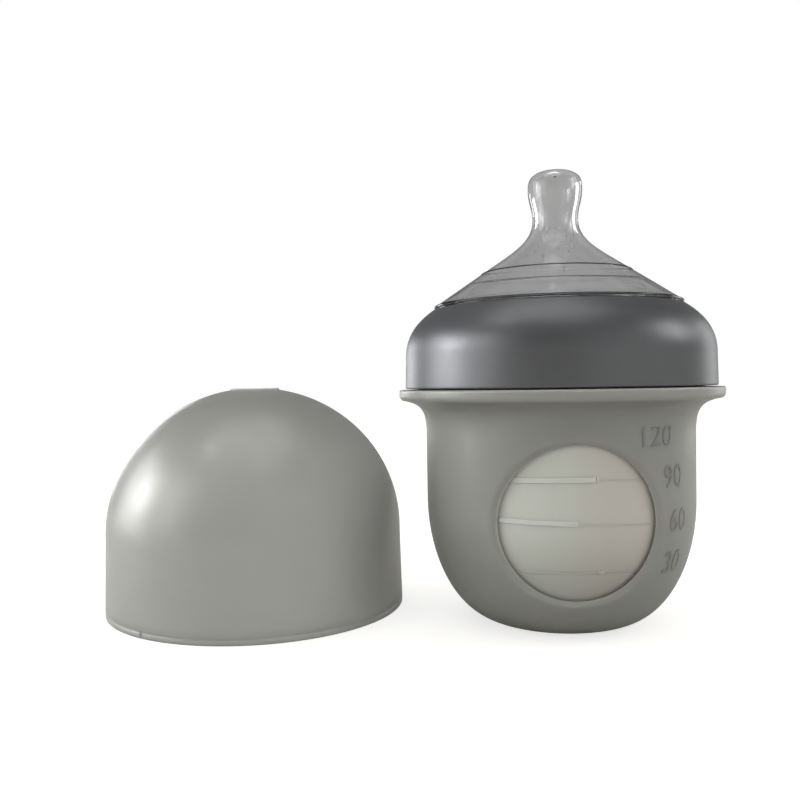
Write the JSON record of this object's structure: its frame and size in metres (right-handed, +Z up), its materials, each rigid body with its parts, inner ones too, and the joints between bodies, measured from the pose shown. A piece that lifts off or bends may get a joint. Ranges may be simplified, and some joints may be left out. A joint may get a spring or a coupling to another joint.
{
  "type": "baby bottle",
  "caption": "Rounded baby bottle: windowed outer shell around a soft milk pouch, clear teat held by a screw collar, and a dome cap standing beside it.",
  "frame": {"origin": "centre of the flat base that the bottle stands on", "axes": "+Z up along the bottle's axis, the round window faces -Y, and the cap stands beside the bottle towards -X"},
  "size_m": [0.1627, 0.0948, 0.1146],
  "materials": {
    "shell_plastic": "satin",
    "pouch_silicone": "matte",
    "nipple_silicone": "clear",
    "collar_plastic": "satin",
    "cap_plastic": "satin"
  },
  "bodies": {
    "shell_body": {"outer_shell": "shell_plastic"},
    "pouch_body": {"pouch": "pouch_silicone"},
    "nipple_body": {"nipple": "nipple_silicone"},
    "collar_body": {"collar": "collar_plastic"},
    "cap_body": {"cap": "cap_plastic"}
  },
  "joints": [
    {"name": "cap_lift", "type": "slide", "parent": "shell_body", "child": "cap_body", "axis": [0, 0, 1], "range_m": [0, 0.12]},
    {"name": "pouch_collapse", "type": "slide", "parent": "shell_body", "child": "pouch_body", "axis": [0, 0, 1], "range_m": [0, 0.033], "stiffness_N_per_m": 20, "deforming": ["pouch"]},
    {"name": "nipple_rise", "type": "slide", "parent": "shell_body", "child": "nipple_body", "axis": [0, 0, 1], "range_m": [0, 0.004]},
    {"name": "collar_turn", "type": "hinge", "parent": "nipple_body", "child": "collar_body", "pos_m": [0, 0, 0.0689], "axis": [0, 0, 1], "range_deg": [0, 360]}
  ],
  "couplings": [
    {"joint": "nipple_rise", "follows": "collar_turn", "m_per_rad": 0.00063662}
  ]
}
